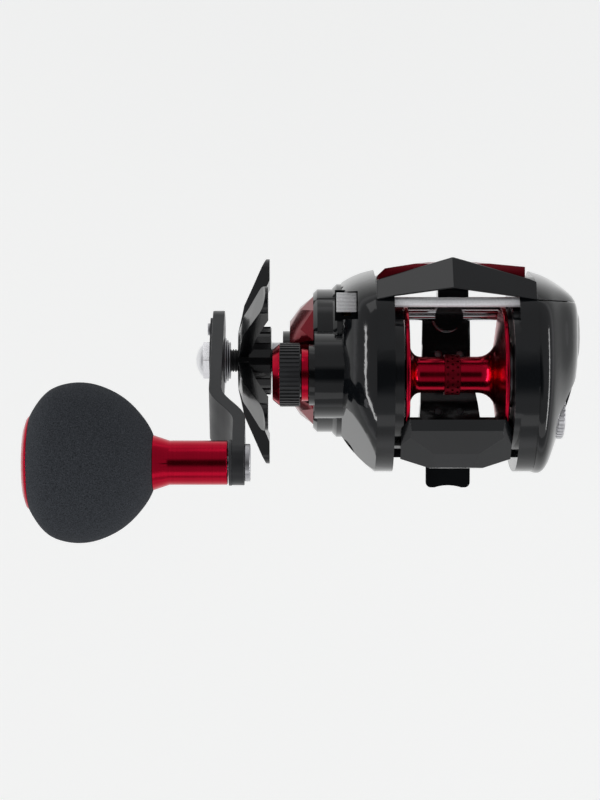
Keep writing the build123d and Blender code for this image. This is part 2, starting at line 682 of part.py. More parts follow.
def pawl():
    """The brass pawl under the shaft, its nose cut to clear the shaft."""
    pin = Pos(GUIDE_X, WORM_AXIS[0], 9.0) * Cylinder(1.5, 4.2)
    return pin - cyl_x(WORM_R + RUNNING, -10, 10, WORM_AXIS)


def pawl_cap():
    """The bright cap that holds the pawl in from below, a little wider than the body."""
    return Pos(GUIDE_X, 18.1, 6.05) * Cylinder(GUIDE_R + 0.35, 0.9)


def guide_rod():
    """The plain rod that keeps the line guide upright."""
    return cyl_x(GUIDE_ROD_R, -18.5, 18.5, GUIDE_ROD)


# ---------------------------------------------------------------- drive train
def drive_shaft():
    """The main shaft: inner journal, flange, threaded length and the arm's square end."""
    shaft = cyl_x(JOURNAL_R, -24.5, -18.6, DRIVE_AXIS)
    shaft += cyl_x(4.6, -25.0, -24.5, DRIVE_AXIS)
    shaft += cyl_x(SHAFT_THREAD_R, -62.4, -25.0, DRIVE_AXIS)
    for groove in range(4):
        start = -61.2 + 0.7 * groove
        shaft -= tube_x(4.0, SHAFT_THREAD_R - 0.3, start, start + 0.35, DRIVE_AXIS)
    square = Pos(-65.55, 0, 0) * Box(6.7, 4.4, 4.4)
    return shaft + turn_x(square, ARM_ANGLE, DRIVE_AXIS)


def main_gear():
    """The drive gear, dished on its outer side for the drag washers."""
    gear = gear_x(MAIN_TEETH, 0.7, -29.2, -25.6, DRIVE_AXIS, DRIVE_ANGLE + 180)
    gear -= cyl_x(11.9, -30.0, -27.6, DRIVE_AXIS)
    return gear - cyl_x(SHAFT_THREAD_R, -40, 0, DRIVE_AXIS)


def levelwind_gear():
    """The gear on the drive shaft that turns the level wind."""
    gear = gear_x(WIND_DRIVE_TEETH, 0.8, -23.4, -21.7, DRIVE_AXIS, WORM_ANGLE)
    return gear - cyl_x(JOURNAL_R, -40, 0, DRIVE_AXIS)


def ratchet():
    """The toothed stop wheel behind the main gear."""
    points = []
    for tooth in range(12):
        points.append(polar((0, 0), 6.0, 30 * tooth))
        points.append(polar((0, 0), 7.4, 30 * tooth + 2))
    wheel = Pos(0, DRIVE_AXIS[0], DRIVE_AXIS[1]) * prism_x(points, -24.4, -23.6)
    return wheel - cyl_x(JOURNAL_R, -40, 0, DRIVE_AXIS)


def drag_washers():
    """The carbon drag washers on both sides of the gear."""
    bore = SHAFT_THREAD_R
    return Compound([
        tube_x(11.4, bore, -25.6, -25.0, DRIVE_AXIS),
        tube_x(11.4, bore, -28.2, -27.6, DRIVE_AXIS),
        tube_x(11.4, bore, -29.4, -28.8, DRIVE_AXIS),
    ])


def drag_plates():
    """The steel plates between the carbon washers, keyed to the shaft."""
    bore = SHAFT_THREAD_R
    return Compound([
        tube_x(11.4, bore, -28.8, -28.2, DRIVE_AXIS),
        tube_x(11.4, bore, -30.2, -29.4, DRIVE_AXIS),
    ])


def clutch_sleeve():
    """The hardened sleeve that the roller clutch grips."""
    return tube_x(5.0, SHAFT_THREAD_R, -49.2, -30.2, DRIVE_AXIS)


def roller_clutch():
    """The one-way roller clutch in the housing's tube."""
    return tube_x(7.2, 5.0 + RUNNING, -44.6, -35.0, DRIVE_AXIS)


def frame_bearings():
    """The bearings in the left side frame: the main shaft's inner end and the pinion's neck."""
    drive = tube_x(4.0, JOURNAL_R + RUNNING, -FRAME_OUTER + 0.1, -18.6, DRIVE_AXIS)
    neck = tube_x(4.2, NECK_JOURNAL_R + RUNNING, -FRAME_OUTER + 0.1, -19.9, SPOOL_AXIS)
    return Compound([drive, neck])


# ----------------------------------------------------------- pinion and clutch
PINION_BORE = SHAFT_R + RUNNING
NECK_JOURNAL_R = 2.6
YOKE_POSTS = [polar(SPOOL_AXIS, 8.0, DRIVE_ANGLE + 90), polar(SPOOL_AXIS, 8.0, DRIVE_ANGLE - 90)]


def pinion():
    """The long pinion that slides on the spool shaft, slotted for the spool's pin."""
    gap = DRIVE_ANGLE + 180 / PINION_TEETH
    body = gear_x(PINION_TEETH, 0.85, -31.2, -23.8, SPOOL_AXIS, gap)
    body += cyl_x(NECK_JOURNAL_R, -23.8, -17.7, SPOOL_AXIS)
    body += cyl_x(2.0, -32.5, -31.2, SPOOL_AXIS)
    body += cyl_x(3.2, -33.3, -32.5, SPOOL_AXIS)
    body -= cyl_x(PINION_BORE, -40, 0, SPOOL_AXIS)
    slot = block(-19.45, -15, -PIN_R - RUNNING, PIN_R + RUNNING, -5, 5)
    return body - turn_x(slot, 0, SPOOL_AXIS)


def clutch_yoke():
    """The fork that draws the pinion out of mesh with the spool's pin."""
    plate = Box(0.8, 18.8, 4.6)
    fork = Pos(-31.85, 0, 0) * plate + cyl_x(5.4, -32.25, -31.45, (0, 0))
    fork -= cyl_x(2.0 + RUNNING, -40, 0, (0, 0))
    fork -= block(-40, 0, -2.06, 2.06, 0, 8)
    yoke = turn_x(fork, DRIVE_ANGLE + 90, SPOOL_AXIS)
    for post in YOKE_POSTS:
        yoke -= cyl_x(0.9 + RUNNING, -40, 0, post)
    return yoke


def yoke_posts():
    """The two posts that guide the yoke."""
    return Compound([cyl_x(0.9, -35.6, -18.4, post) for post in YOKE_POSTS])


def yoke_springs():
    """The two small springs that push the yoke back into mesh."""
    coils = []
    for post in YOKE_POSTS:
        path = Helix(pitch=0.7, height=2.8, radius=1.3, center=(0, 0, 0), direction=(1, 0, 0))
        start = path @ 0
        section = Plane(origin=start, z_dir=path % 0) * Circle(0.18)
        coil = sweep(section, path=path)
        coils.append(Pos(-35.35, post[0], post[1]) * coil)
    return Compound(coils)


def thumb_bar():
    """The thumb rest and clutch bar: a faceted pad that rides round the spool axis."""
    arc = [polar(SPOOL_AXIS, BAR_R, angle) for angle in range(130, 166, 5)]
    outline = arc + [polar(SPOOL_AXIS, BAR_R, 166), (-19.6, 30.6), (-23.1, 31.6), (-22.9, 33.4),
                     (-19.1, 37.2), (-13.0, 40.5), (-10.0, 41.3)]
    bar = prism_x(outline, -14.7, 14.7)
    plan = prism_z([(-14.7, -9), (14.7, -9), (14.7, -20.6), (7.0, -23.1), (-6.8, -23.1), (-14.7, -20.6)],
                   20, 50)
    bar = bar & plan
    for side in (-1, 1):
        bar = bar & beneath((side * 12.3, -14.7, 39.6), (side * 5.9, -19.1, 37.2), (side * 10.4, -22.0, 32.6))
        bar = bar & beneath((side * 12.6, -10.0, 41.3), (side * 12.3, -14.7, 39.6), (side * 14.7, -12.0, 38.6))
    return bar + prism_x(leg_profile(), -FRAME_OUTER - 0.3, -12.0)


def clutch_plate():
    """The sliding plate outside the left side frame that works the yoke."""
    points = [polar(SPOOL_AXIS, LEG_OUTER, LEG_START), polar(SPOOL_AXIS, 18.0, LEG_START - 4),
              polar(SPOOL_AXIS, 11.0, 168), polar(SPOOL_AXIS, 12.4, 180),
              polar(SPOOL_AXIS, LEG_OUTER - 0.4, LEG_END + 1)]
    return prism_x(points, -FRAME_OUTER - 1.2, -FRAME_OUTER - 0.3)


# -------------------------------------------------------------------- controls
def star_arm():
    """One spoon-shaped arm of the star, drawn along +Y, with a thick rim towards the body."""
    profile = [(7.0, -58.5), (15.0, -57.0), (24.0, -53.2), (28.2, -51.4), (STAR_R, -50.8),
               (STAR_R, STAR_FACE), (22.5, STAR_FACE), (14.0, -53.4), (7.0, -55.4)]
    edge = Polyline([(x, y, -6) for y, x in profile], close=True)
    side = extrude(make_face(edge), amount=12, dir=(0, 0, 1))
    plan = [(6.0, -4.6), (12.0, -3.4), (19.0, -3.4), (STAR_R - STAR_TIP, -STAR_TIP)]
    tip = Pos(-55, STAR_R - STAR_TIP, 0) * Rot(0, 90, 0) * Cylinder(STAR_TIP, 20)
    body = prism_x(plan + [(y, -z) for y, z in reversed(plan)], -62, -45) + tip
    return side & body


def star_drag():
    """The star wheel: a fluted hub and arms that lean towards the body."""
    hub = cyl_x(9.1, -55.5, -49.4, (0, 0))
    hub += ribs_x(9.1, 0.3, 14, -55.3, -49.6, (0, 0), 2.2)
    hub += cyl_x(8.4, -58.5, -55.0, (0, 0))
    for arm in range(STAR_ARMS):
        hub += Rot(360 * arm / STAR_ARMS, 0, 0) * star_arm()
    hub -= cyl_x(SHAFT_THREAD_R + RUNNING, -70, -40, (0, 0))
    hub -= cyl_x(5.6, -52.0, -40, (0, 0))
    return turn_x(hub, STAR_TURN, DRIVE_AXIS)


def spring_washers():
    """The cupped washers between the star and the arm."""
    bore = SHAFT_THREAD_R
    washers = [tube_x(6.3 - 0.6 * k, bore, -62.3 + 0.6 * k, -61.9 + 0.6 * k, DRIVE_AXIS) for k in range(3)]
    return Compound(washers)


def crank_offset(along):
    """How far the arm has stepped in towards the body, at a distance along it."""
    share = min(max((along - CRANK_START) / (CRANK_END - CRANK_START), 0.0), 1.0)
    return ARM_JOG * share * share * (3 - 2 * share)


def handle_arm():
    """The cranked handle arm, drawn along +Y and turned to its rest direction."""
    stations = [-20, CRANK_START] + [
        CRANK_START + (CRANK_END - CRANK_START) * step / 12 for step in range(1, 12)
    ] + [CRANK_END, 66]
    outer = [(ARM_OUTER + crank_offset(along), along) for along in stations]
    inner = [(x + ARM_THICK, along - 1.0) for x, along in outer]
    edge = Polyline([(x, along, -16) for x, along in outer + inner[::-1]], close=True)
    strip = extrude(make_face(edge), amount=32, dir=(0, 0, 1))
    round_ends = [Circle(8.0).edge(), (Pos(-5.4, -4.4) * Circle(7.4)).edge(),
                  (Pos(ARM_LENGTH, 0) * Circle(5.8)).edge()]
    plan = Pos(-75, 0, 0) * extrude(Plane.YZ * make_hull(round_ends), amount=25, dir=(1, 0, 0))
    arm = strip & plan
    arm -= Pos(-64, 0, 0) * Box(8, 4.4, 4.4)
    arm -= cyl_x(2.0, -70, -50, (ARM_LENGTH, 0))
    arm -= cyl_x(1.0, -70, -50, RETAINER_HOLE)
    return turn_x(arm, ARM_ANGLE, DRIVE_AXIS)


RETAINER_HOLE = (-7.5, -5.8)


def arm_nut():
    """The domed hex nut on the end of the drive shaft."""
    hexagon = extrude(RegularPolygon(5.77, 6), amount=1.8)
    neck = Pos(0, 0, 1.8) * Cone(4.5, 4.1, 0.6, align=(Align.CENTER, Align.CENTER, Align.MIN))
    cap_height = -66.4 - ARM_NUT_END - 2.4
    dome_r = (4.1 ** 2 + cap_height ** 2) / (2 * cap_height)
    dome = Pos(0, 0, 2.4 + cap_height - dome_r) * Sphere(dome_r) & Pos(0, 0, 4.4) * Box(12, 12, 4.0)
    nut = Pos(-66.4, 0, 0) * Rot(0, -90, 0) * (hexagon + neck + dome)
    nut -= cyl_x(3.2, -69.0, -60, (0, 0))
    return turn_x(nut, ARM_ANGLE, DRIVE_AXIS)


def nut_retainer():
    """The plate that keeps the nut from turning, with its small screw."""
    hole = RETAINER_HOLE
    outline = make_hull([Circle(6.6).edge(), (Pos(*hole) * Circle(3.2)).edge()])
    plate = Pos(-66.4, 0, 0) * extrude(Plane.YZ * outline, amount=ARM_OUTER + 66.4, dir=(1, 0, 0))
    plate -= Pos(-66, 0, 0) * Box(4, 4.4, 4.4)
    plate -= cyl_x(1.0, -70, -60, hole)
    return turn_x(plate, ARM_ANGLE, DRIVE_AXIS)


def retainer_screw():
    """The small screw through the retainer into the arm."""
    screw = cyl_x(1.0, -66.4, -63.0, RETAINER_HOLE) + cyl_x(1.7, -67.2, -66.4, RETAINER_HOLE)
    return turn_x(screw, ARM_ANGLE, DRIVE_AXIS)


def knob_place(shape):
    """A shape drawn about the knob's axis, moved to the end of the arm."""
    return Pos(0, *KNOB_AXIS) * shape


KNOB_AXIS = polar(DRIVE_AXIS, ARM_LENGTH, ARM_ANGLE)
POST_R = 2.0


def knob_post():
    """The steel post riveted in the arm's end, on which the knob turns."""
    post = cyl_x(POST_R, -106.0, -54.6, KNOB_AXIS)
    return post + cyl_x(4.8, -55.7, -54.2, KNOB_AXIS)


def knob_washer():
    """The black washer between the arm and the collar."""
    return tube_x(5.9, POST_R, -59.7, -58.9, KNOB_AXIS)


def knob_bearings():
    """The two bearings inside the knob's core."""
    pair = [tube_x(3.6, POST_R + RUNNING, x, x + 2.5, KNOB_AXIS) for x in (-63.0, -104.5)]
    return Compound(pair)


def knob_collar():
    """The red collar and core of the knob in one turned piece."""
    outline = [(-60.0, 3.6), (-60.0, 5.5), (-60.2, 5.7), (-74.9, 5.7), (KNOB_INNER, 7.1),
               (KNOB_INNER, 4.6), (-110.4, 4.6), (-110.4, 2.4), (-106.6, 2.4), (-106.6, 3.6)]
    return turned(outline, KNOB_AXIS)


def knob_grip():
    """The round foam grip."""
    radii = [(KNOB_INNER - 0.05, 7.3), (-80.4, 9.8), (-82.7, 12.9), (-85.0, 15.3), (-87.6, 17.3),
             (-90.6, 18.9), (-94.0, 20.1), (-98.0, 20.6), (-102.0, 20.1), (-105.4, 18.7),
             (-108.2, 16.0), (-110.4, 12.5)]
    back = radii[::-1]
    profile = Spline([(x, r, 0) for x, r in back])
    neck = KNOB_INNER - 0.05
    rest = Polyline([(neck, 7.3, 0), (neck, 4.6, 0), (-110.4, 4.6, 0), (-110.4, 12.5, 0)])
    return Pos(0, *KNOB_AXIS) * revolve(make_face([profile, rest]), Axis.X)


def knob_cap():
    """The domed cap on the knob's outer end."""
    outline = [(-110.4, 0), (-110.4, 12.3), (-111.2, 11.6), (-111.9, 9.6), (-112.3, 6.0), (KNOB_OUTER, 0)]
    return turned(outline, KNOB_AXIS)


def clicker_slider():
    """The ribbed slider of the line clicker, on top of the handle side plate."""
    bottom = CLICKER_Z + 0.1
    slider = block(CLICKER_X - 2.7, CLICKER_X + 2.7, 18.8, 24.0, bottom, bottom + 2.4)
    for rib in range(5):
        groove = 19.2 + rib
        slider -= block(CLICKER_X - 4, CLICKER_X + 4, groove, groove + 0.45, bottom + 1.9, bottom + 4)
    return slider + block(CLICKER_X - 1.2, CLICKER_X + 1.2, 20.2, 22.6, CLICKER_Z - 2.8, bottom)


PARTS = {
    "main_frame": main_frame,
    "front_hood": front_hood,
    "front_cowl": front_cowl,
    "reel_foot": reel_foot,
    "foot_rivets": foot_rivets,
    "upper_pillar": upper_pillar,
    "handle_side_plate": handle_side_plate,
    "side_accent_cover": side_accent_cover,
    "side_plate_screws": side_plate_screws,
    "palm_side_plate": palm_side_plate,
    "palm_corner_panel": palm_corner_panel,
    "brake_housing": brake_housing,
    "brake_magnets": brake_magnets,
    "brake_rotor": brake_rotor,
    "brake_dial": brake_dial,
    "spool": spool,
    "spool_band": spool_band,
    "spool_shaft": spool_shaft,
    "spool_pin": spool_pin,
    "spool_bearings": spool_bearings,
    "cast_cap": cast_cap,
    "cast_cap_insert": cast_cap_insert,
    "cast_ring": cast_ring,
    "cast_spacer": cast_spacer,
    "worm_shaft": worm_shaft,
    "worm_gear": worm_gear,
    "worm_bushings": worm_bushings,
    "line_guide": line_guide,
    "guide_ring": guide_ring,
    "pawl": pawl,
    "pawl_cap": pawl_cap,
    "guide_rod": guide_rod,
    "drive_shaft": drive_shaft,
    "main_gear": main_gear,
    "levelwind_gear": levelwind_gear,
    "ratchet": ratchet,
    "drag_washers": drag_washers,
    "drag_plates": drag_plates,
    "clutch_sleeve": clutch_sleeve,
    "roller_clutch": roller_clutch,
    "frame_bearings": frame_bearings,
    "pinion": pinion,
    "clutch_yoke": clutch_yoke,
    "yoke_posts": yoke_posts,
    "yoke_springs": yoke_springs,
    "thumb_bar": thumb_bar,
    "clutch_plate": clutch_plate,
    "star_drag": star_drag,
    "spring_washers": spring_washers,
    "handle_arm": handle_arm,
    "arm_nut": arm_nut,
    "nut_retainer": nut_retainer,
    "retainer_screw": retainer_screw,
    "knob_post": knob_post,
    "knob_washer": knob_washer,
    "knob_bearings": knob_bearings,
    "knob_collar": knob_collar,
    "knob_grip": knob_grip,
    "knob_cap": knob_cap,
    "clicker_slider": clicker_slider,
}

os.makedirs("parts", exist_ok=True)
for node, make in PARTS.items():
    export_step(make(), f"parts/{node}.step")
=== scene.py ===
"""Looks of the low-profile baitcasting reel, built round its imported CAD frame.

Every piece that shows is a copy of its CAD node, merged and cleaned, and the hard
ones get rounded edges that catch light. The pieces inside keep their CAD meshes and
get a procedural finish. Sizes are in metres unless a name or comment says otherwise.
"""
import json
import math

import bmesh
import bpy
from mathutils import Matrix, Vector


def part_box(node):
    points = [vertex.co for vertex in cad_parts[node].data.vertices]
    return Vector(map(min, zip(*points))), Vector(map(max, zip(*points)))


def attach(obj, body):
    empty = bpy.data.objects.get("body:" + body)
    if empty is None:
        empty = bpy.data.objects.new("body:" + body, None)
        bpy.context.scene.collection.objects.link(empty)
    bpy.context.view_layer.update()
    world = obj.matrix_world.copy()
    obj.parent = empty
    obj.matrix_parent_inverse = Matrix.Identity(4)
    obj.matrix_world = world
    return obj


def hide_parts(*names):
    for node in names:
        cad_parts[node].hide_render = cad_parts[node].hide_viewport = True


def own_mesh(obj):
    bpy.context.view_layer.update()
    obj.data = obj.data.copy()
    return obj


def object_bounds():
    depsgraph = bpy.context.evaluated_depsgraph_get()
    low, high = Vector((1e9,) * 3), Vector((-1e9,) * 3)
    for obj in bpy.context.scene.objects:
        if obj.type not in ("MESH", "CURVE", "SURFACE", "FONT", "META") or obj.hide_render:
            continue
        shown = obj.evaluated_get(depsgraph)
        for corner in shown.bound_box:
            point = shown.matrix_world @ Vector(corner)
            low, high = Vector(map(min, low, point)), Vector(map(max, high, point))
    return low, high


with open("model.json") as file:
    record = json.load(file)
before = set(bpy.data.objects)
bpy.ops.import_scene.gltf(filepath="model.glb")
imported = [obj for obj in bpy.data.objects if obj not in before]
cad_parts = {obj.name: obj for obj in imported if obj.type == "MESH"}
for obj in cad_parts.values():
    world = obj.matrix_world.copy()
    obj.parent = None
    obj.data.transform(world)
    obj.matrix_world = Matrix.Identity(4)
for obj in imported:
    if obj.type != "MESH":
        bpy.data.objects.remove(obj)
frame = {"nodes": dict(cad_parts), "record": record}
CAD_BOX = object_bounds()
NODES = frame["nodes"]
BODY_OF = {
    node: body for body, members in frame["record"]["behaviour"]["bodies"].items() for node in members
}
SLOT_OF = {part["node"]: part["material_slot"] for part in frame["record"]["subparts"]}
MM = 0.001
MERGE_DISTANCE = 2e-7  # closer vertices than this are one vertex
COPLANAR_DEG = 0.6  # faces flatter to each other than this are one face
SHARP_DEG = 33.0  # edges sharper than this are rounded
FACET_DEG = 12.0  # the same, on pieces made of shallow facets


def middle(node):
    """The middle of a CAD node's box."""
    low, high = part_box(node)
    return (low + high) / 2


SPOOL_AXIS = middle("spool_shaft")
DRIVE_AXIS = middle("main_gear")
KNOB_AXIS = middle("knob_grip")


# ------------------------------------------------------------------ materials
class Finish:
    """A procedural material under construction: a Principled shader and helpers."""

    def __init__(self, name, colour, metallic=0.0, roughness=0.4):
        self.material = bpy.data.materials.new(name)
        self.material.use_nodes = True
        self.tree = self.material.node_tree
        self.shader = self.tree.nodes["Principled BSDF"]
        self.shader.inputs["Base Color"].default_value = (*colour, 1)
        self.shader.inputs["Metallic"].default_value = metallic
        self.shader.inputs["Roughness"].default_value = roughness
        self.coords = self.node("ShaderNodeTexCoord").outputs["Object"]
        self.height = None

    def node(self, kind, **settings):
        made = self.tree.nodes.new(kind)
        for key, value in settings.items():
            setattr(made, key, value)
        return made

    def link(self, source, target):
        self.tree.links.new(source, target)

    def set(self, **values):
        for key, value in values.items():
            self.shader.inputs[key.replace("_", " ")].default_value = value
        return self

    def turned_coords(self, axis):
        """Coordinates (x, radius, 0) about an axis along X, for lathe marks."""
        shift = self.node("ShaderNodeVectorMath", operation="SUBTRACT")
        self.link(self.coords, shift.inputs[0])
        shift.inputs[1].default_value = axis
        split = self.node("ShaderNodeSeparateXYZ")
        self.link(shift.outputs[0], split.inputs[0])
        flat = self.node("ShaderNodeCombineXYZ")
        self.link(split.outputs["Y"], flat.inputs["Y"])
        self.link(split.outputs["Z"], flat.inputs["Z"])
        radius = self.node("ShaderNodeVectorMath", operation="LENGTH")
        self.link(flat.outputs[0], radius.inputs[0])
        joined = self.node("ShaderNodeCombineXYZ")
        self.link(split.outputs["X"], joined.inputs["X"])
        self.link(radius.outputs["Value"], joined.inputs["Y"])
        return joined.outputs[0]

    def noise(self, scale, detail=4.0, roughness=0.55, coords=None, stretch=None):
        source = coords or self.coords
        if stretch:
            mapping = self.node("ShaderNodeMapping")
            mapping.inputs["Scale"].default_value = stretch
            self.link(source, mapping.inputs["Vector"])
            source = mapping.outputs[0]
        texture = self.node("ShaderNodeTexNoise")
        texture.inputs["Scale"].default_value = scale
        texture.inputs["Detail"].default_value = detail
        texture.inputs["Roughness"].default_value = roughness
        self.link(source, texture.inputs["Vector"])
        return texture.outputs["Fac"]

    def ramp(self, source, low, high, start=0.3, end=0.7):
        """source remapped from start..end to low..high."""
        span = self.node("ShaderNodeMapRange")
        span.inputs["From Min"].default_value = start
        span.inputs["From Max"].default_value = end
        span.inputs["To Min"].default_value = low
        span.inputs["To Max"].default_value = high
        self.link(source, span.inputs["Value"])
        return span.outputs["Result"]

    def vary_roughness(self, source, low, high):
        self.link(self.ramp(source, low, high), self.shader.inputs["Roughness"])
        return self

    def vary_colour(self, source, dark, light, start=0.3, end=0.7):
        mix = self.node("ShaderNodeMix", data_type="RGBA")
        mix.inputs[6].default_value = (*dark, 1)
        mix.inputs[7].default_value = (*light, 1)
        self.link(self.ramp(source, 0.0, 1.0, start, end), mix.inputs[0])
        self.link(mix.outputs[2], self.shader.inputs["Base Color"])
        return self

    def bump(self, source, distance, strength=1.0):
        """One more layer of relief on top of what is there."""
        layer = self.node("ShaderNodeBump")
        layer.inputs["Distance"].default_value = distance
        layer.inputs["Strength"].default_value = strength
        self.link(source, layer.inputs["Height"])
        if self.height:
            self.link(self.height, layer.inputs["Normal"])
        self.height = layer.outputs["Normal"]
        self.link(self.height, self.shader.inputs["Normal"])
        return self


def shaded(colour, factor):
    return tuple(channel * factor for channel in colour)


def gloss_black(name, roughness=0.07, base=(0.003, 0.0037, 0.0045)):
    """Moulded black shell with a clear lacquer and faint handling marks."""
    finish = Finish(name, base, roughness=roughness)
    smears = finish.noise(90, 5, 0.6)
    finish.vary_roughness(smears, roughness, roughness + 0.05)
    finish.vary_colour(finish.noise(60, 3), base, shaded(base, 1.6))
    finish.bump(finish.noise(900, 2), 0.00001, 0.25)
    return finish.set(Coat_Weight=0.25, Coat_Roughness=0.04, IOR=1.5, Specular_IOR_Level=0.45)


def satin_black(name, roughness=0.42, base=(0.016, 0.017, 0.019)):
    """Finely textured black plastic."""
    finish = Finish(name, base, roughness=roughness)
    grain = finish.noise(2600, 3, 0.6)
    finish.vary_roughness(finish.noise(140, 4), roughness - 0.05, roughness + 0.08)
    finish.vary_colour(finish.noise(220, 4), base, shaded(base, 1.5))
    return finish.bump(grain, 0.00003, 0.35)


def anodised(name, axis, colour=(0.52, 0.006, 0.030), roughness=0.2):
    """Dyed anodised aluminium with lathe marks about an axis."""
    finish = Finish(name, colour, 1.0, roughness)
    lathe = finish.noise(2600, 2, 0.5, finish.turned_coords(axis))
    finish.vary_roughness(finish.noise(160, 4), roughness - 0.03, roughness + 0.05)
    finish.vary_colour(lathe, shaded(colour, 0.93), shaded(colour, 1.06))
    return finish.bump(lathe, 0.000005, 0.12)


def metal(name, axis, colour, roughness, marks=0.35):
    """Turned or ground bare metal."""
    finish = Finish(name, colour, 1.0, roughness)
    lathe = finish.noise(2200, 3, 0.55, finish.turned_coords(axis))
    finish.vary_roughness(finish.noise(240, 4), roughness * 0.8, roughness * 1.5)
    finish.vary_colour(lathe, shaded(colour, 0.86), colour)
    return finish.bump(lathe, 0.000012, marks)


def red_lacquer(name, colour=(0.21, 0.003, 0.012)):
    """Deep metallic red under a clear coat."""
    finish = Finish(name, colour, 0.8, 0.26)
    flakes = finish.noise(4200, 2)
    finish.vary_colour(flakes, shaded(colour, 0.85), shaded(colour, 1.15))
    finish.vary_roughness(finish.noise(120, 4), 0.18, 0.26)
    return finish.set(Coat_Weight=0.25, Coat_Roughness=0.05)


def arm_paint(name, base=(0.020, 0.021, 0.023)):
    """Satin dark grey paint on the handle arm."""
    finish = Finish(name, base, 0.35, 0.34)
    finish.vary_roughness(finish.noise(180, 5), 0.28, 0.42)
    finish.vary_colour(finish.noise(90, 4), base, shaded(base, 1.35))
    return finish.bump(finish.noise(3000, 2), 0.00001, 0.3)


def foam(name, base=(0.030, 0.033, 0.038)):
    """Charcoal closed-cell foam: matt, with fine open pores and pale specks."""
    finish = Finish(name, base, roughness=0.88)
    cells = finish.node("ShaderNodeTexVoronoi")
    cells.inputs["Scale"].default_value = 2600
    finish.link(finish.coords, cells.inputs["Vector"])
    specks = finish.noise(3200, 2, 0.7)
    finish.vary_colour(specks, shaded(base, 0.75), shaded(base, 2.1), 0.35, 0.72)
    finish.bump(cells.outputs["Distance"], 0.00012, 0.5)
    finish.bump(finish.noise(700, 4, 0.6), 0.0001, 0.4)
    return finish.set(Specular_IOR_Level=0.08)


def carbon(name):
    """Woven friction washers."""
    finish = Finish(name, (0.02, 0.02, 0.021), roughness=0.5)
    weave = finish.node("ShaderNodeTexChecker")
    weave.inputs["Scale"].default_value = 1600
    finish.link(finish.coords, weave.inputs["Vector"])
    finish.vary_colour(weave.outputs["Fac"], (0.014, 0.014, 0.015), (0.05, 0.05, 0.052))
    return finish.bump(finish.noise(1800, 2), 0.00002, 0.5)


FINISHES = {
    "gloss_black": gloss_black("gloss_black"),
    "frame_black": gloss_black("frame_black", 0.14),
    "satin_black": satin_black("satin_black"),
    "arm_grey": arm_paint("arm_grey"),
    "red_anodised": anodised("red_anodised", SPOOL_AXIS),
    "red_cover": red_lacquer("red_cover"),
    "polished_steel": metal("polished_steel", SPOOL_AXIS, (0.82, 0.82, 0.84), 0.1, 0.1),
    "steel": metal("steel", SPOOL_AXIS, (0.55, 0.55, 0.57), 0.28),
    "silver_alloy": metal("silver_alloy", SPOOL_AXIS, (0.74, 0.74, 0.76), 0.3),
    "brass": metal("brass", SPOOL_AXIS, (0.72, 0.50, 0.20), 0.25),
    "carbon": carbon("carbon"),
    "foam": foam("foam"),
}
RED_KNOB = anodised("red_anodised_knob", KNOB_AXIS)
BRUSHED = metal("brushed_silver", SPOOL_AXIS, (0.90, 0.90, 0.92), 0.36, 0.1).set(Metallic=0.35)
CLICKER = metal("clicker_silver", SPOOL_AXIS, (0.95, 0.95, 0.96), 0.4, 0.1).set(Metallic=0.1)
NODE_FINISH = {
    "knob_collar": RED_KNOB,
    "knob_cap": RED_KNOB,
    "upper_pillar": BRUSHED,
    "clicker_slider": CLICKER,
    "thumb_bar": gloss_black("half_gloss_black", 0.2),
    "star_drag": gloss_black("star_black", 0.16),
    "spool_band": anodised("blasted_red", SPOOL_AXIS, (0.27, 0.008, 0.022), 0.45),
}


def finish_of(node):
    """The finish of a CAD node: its own if it has one, or its material slot's."""
    return NODE_FINISH.get(node) or FINISHES[SLOT_OF[node]]


# --------------------------------------------------------------------- pieces
def adopt(piece, node):
    """Gives a piece its node's finish, slot and body, and lets it stand for the node."""
    piece.data.materials.clear()
    piece.data.materials.append(finish_of(node).material)
    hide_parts(node)
    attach(piece, BODY_OF[node])


def new_piece(name, mesh):
    piece = bpy.data.objects.new(name, mesh)
    bpy.context.scene.collection.objects.link(piece)
    return piece


# The widths of the rounded edges, in millimetres, of the pieces that show.
SOFT_EDGES = {
    "main_frame": 0.45, "front_hood": 0.35, "front_cowl": 0.25, "reel_foot": 0.3,
    "handle_side_plate": 0.35, "side_accent_cover": 0.18, "palm_side_plate": 0.35,
    "palm_corner_panel": 0.35, "brake_housing": 0.3, "brake_dial": 0.12, "spool": 0.2,
    "cast_cap": 0.12, "cast_cap_insert": 0.15, "cast_ring": 0.25, "line_guide": 0.3,
    "guide_ring": 0.12, "upper_pillar": 0.1, "worm_shaft": 0.1, "thumb_bar": 0.5,
    "star_drag": 0.35, "spring_washers": 0.1, "handle_arm": 0.55, "arm_nut": 0.25,
    "nut_retainer": 0.12, "retainer_screw": 0.15, "knob_post": 0.25, "knob_washer": 0.12,
    "knob_collar": 0.2, "knob_cap": 0.3, "drive_shaft": 0.1, "pawl_cap": 0.2,
    "clicker_slider": 0.12, "side_plate_screws": 0.12, "foot_rivets": 0.15,
    "clutch_sleeve": 0.12,
}
REBUILT = {"knob_grip", "yoke_springs"}  # pieces with a function of their own below
FACETED = {"side_accent_cover", "front_hood", "thumb_bar", "cast_cap_insert", "reel_foot"}


def merge_mesh(mesh, join_flat_faces):
    """Merges a mesh's doubled vertices and, if asked, its coplanar faces, and shades it smooth."""
    work = bmesh.new()
    work.from_mesh(mesh)
    bmesh.ops.remove_doubles(work, verts=work.verts, dist=MERGE_DISTANCE)
    if join_flat_faces:
        flat = math.radians(COPLANAR_DEG)
        bmesh.ops.dissolve_limit(
            work, angle_limit=flat, verts=work.verts, edges=work.edges, delimit=set()
        )
    for face in work.faces:
        face.smooth = True
    work.to_mesh(mesh)
    work.free()


